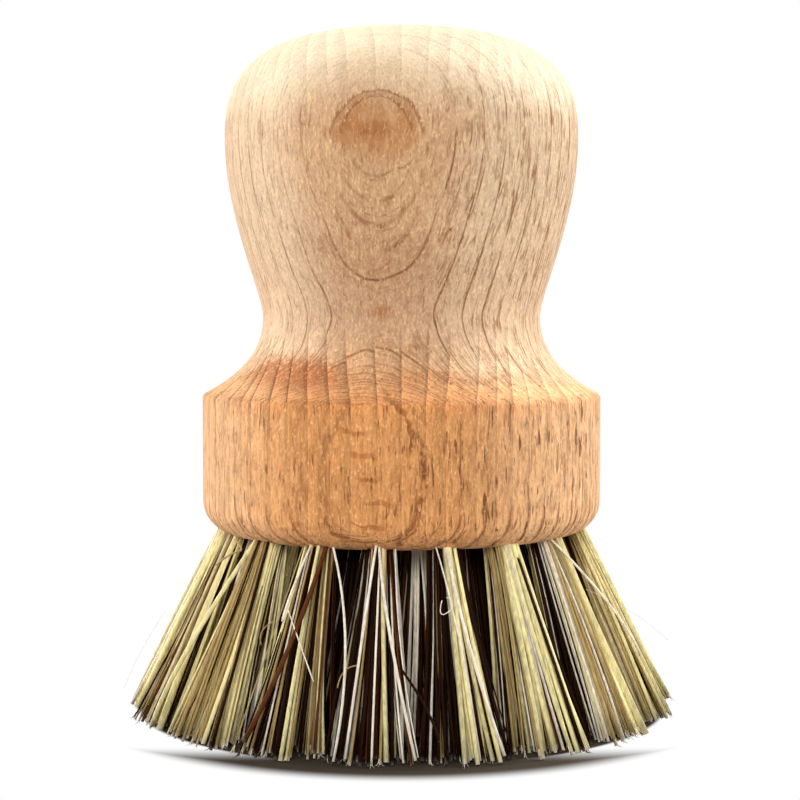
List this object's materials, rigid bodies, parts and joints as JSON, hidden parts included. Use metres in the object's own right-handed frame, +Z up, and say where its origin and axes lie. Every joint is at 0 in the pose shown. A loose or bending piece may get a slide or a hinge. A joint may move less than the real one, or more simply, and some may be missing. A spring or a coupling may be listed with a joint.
{
  "type": "palm brush",
  "caption": "Palm-held scrubbing brush: turned wooden knob and round block with splayed tufts of stiff plant fibre stapled into bored holes.",
  "frame": {"origin": "centre of the plane in which the bristle tips are trimmed, on which the brush stands", "axes": "+Z up along the axis of the turned body, from the tips to the knob; the front of the picture is -Y"},
  "size_m": [0.0682, 0.068, 0.0847],
  "materials": {
    "beech": "untreated, fine sanded",
    "plant_fibre": "mixed pale and dark stiff plant fibre",
    "staple_wire": "drawn wire"
  },
  "bodies": {
    "root": {"handle_block": "beech", "staples": "staple_wire", "tuft_centre": "plant_fibre", "tuft_inner_01": "plant_fibre", "tuft_inner_02": "plant_fibre", "tuft_inner_03": "plant_fibre", "tuft_inner_04": "plant_fibre", "tuft_inner_05": "plant_fibre", "tuft_inner_06": "plant_fibre", "tuft_middle_01": "plant_fibre", "tuft_middle_02": "plant_fibre", "tuft_middle_03": "plant_fibre", "tuft_middle_04": "plant_fibre", "tuft_middle_05": "plant_fibre", "tuft_middle_06": "plant_fibre", "tuft_middle_07": "plant_fibre", "tuft_middle_08": "plant_fibre", "tuft_middle_09": "plant_fibre", "tuft_middle_10": "plant_fibre", "tuft_middle_11": "plant_fibre", "tuft_middle_12": "plant_fibre", "tuft_outer_01": "plant_fibre", "tuft_outer_02": "plant_fibre", "tuft_outer_03": "plant_fibre", "tuft_outer_04": "plant_fibre", "tuft_outer_05": "plant_fibre", "tuft_outer_06": "plant_fibre", "tuft_outer_07": "plant_fibre", "tuft_outer_08": "plant_fibre", "tuft_outer_09": "plant_fibre", "tuft_outer_10": "plant_fibre", "tuft_outer_11": "plant_fibre", "tuft_outer_12": "plant_fibre", "tuft_outer_13": "plant_fibre", "tuft_outer_14": "plant_fibre", "tuft_outer_15": "plant_fibre", "tuft_outer_16": "plant_fibre", "tuft_outer_17": "plant_fibre", "tuft_outer_18": "plant_fibre"}
  },
  "joints": []
}
